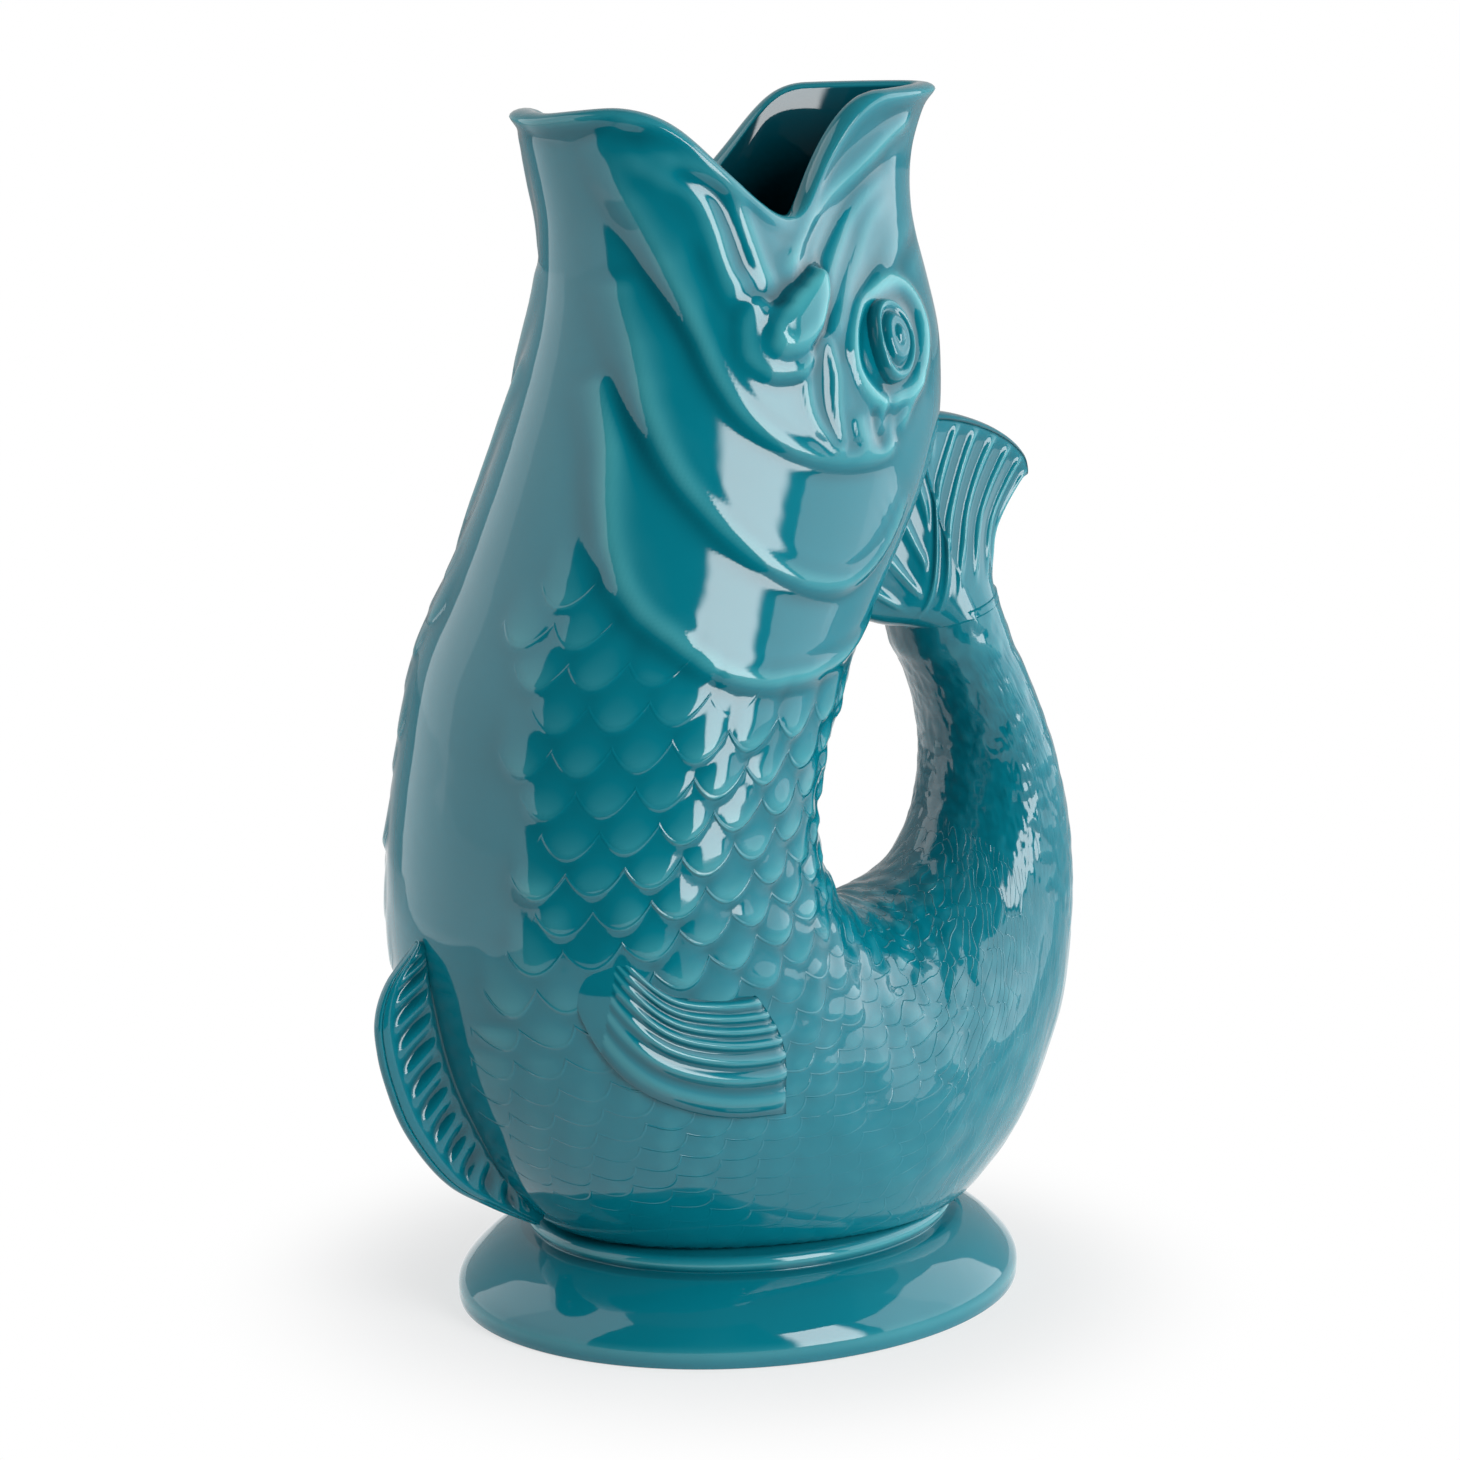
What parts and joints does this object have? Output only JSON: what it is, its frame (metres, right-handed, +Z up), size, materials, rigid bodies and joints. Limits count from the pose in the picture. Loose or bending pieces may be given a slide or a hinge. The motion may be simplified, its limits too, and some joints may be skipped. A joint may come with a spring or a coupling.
{
  "type": "gurgle jug",
  "caption": "Fish-shaped pouring jug on an oval flared foot, mouth open at the top, its hollow tail curled up the back as the handle.",
  "frame": {"origin": "on the table under the middle of the whole jug's box", "axes": "+Z up, -X toward the lower lip and the belly, +X toward the tail handle, +Y to the fish's right"},
  "size_m": [0.175, 0.108, 0.2529],
  "materials": {
    "teal_glaze": "glossy teal glaze, darker where it pools and paler on the edges"
  },
  "bodies": {
    "root": {"foot": "teal_glaze", "body": "teal_glaze", "tail_handle": "teal_glaze", "tail_fin": "teal_glaze", "pectoral_fin_left": "teal_glaze", "pectoral_fin_right": "teal_glaze", "belly_fin": "teal_glaze", "anal_fin": "teal_glaze", "eye_left": "teal_glaze", "eye_right": "teal_glaze"}
  },
  "joints": []
}
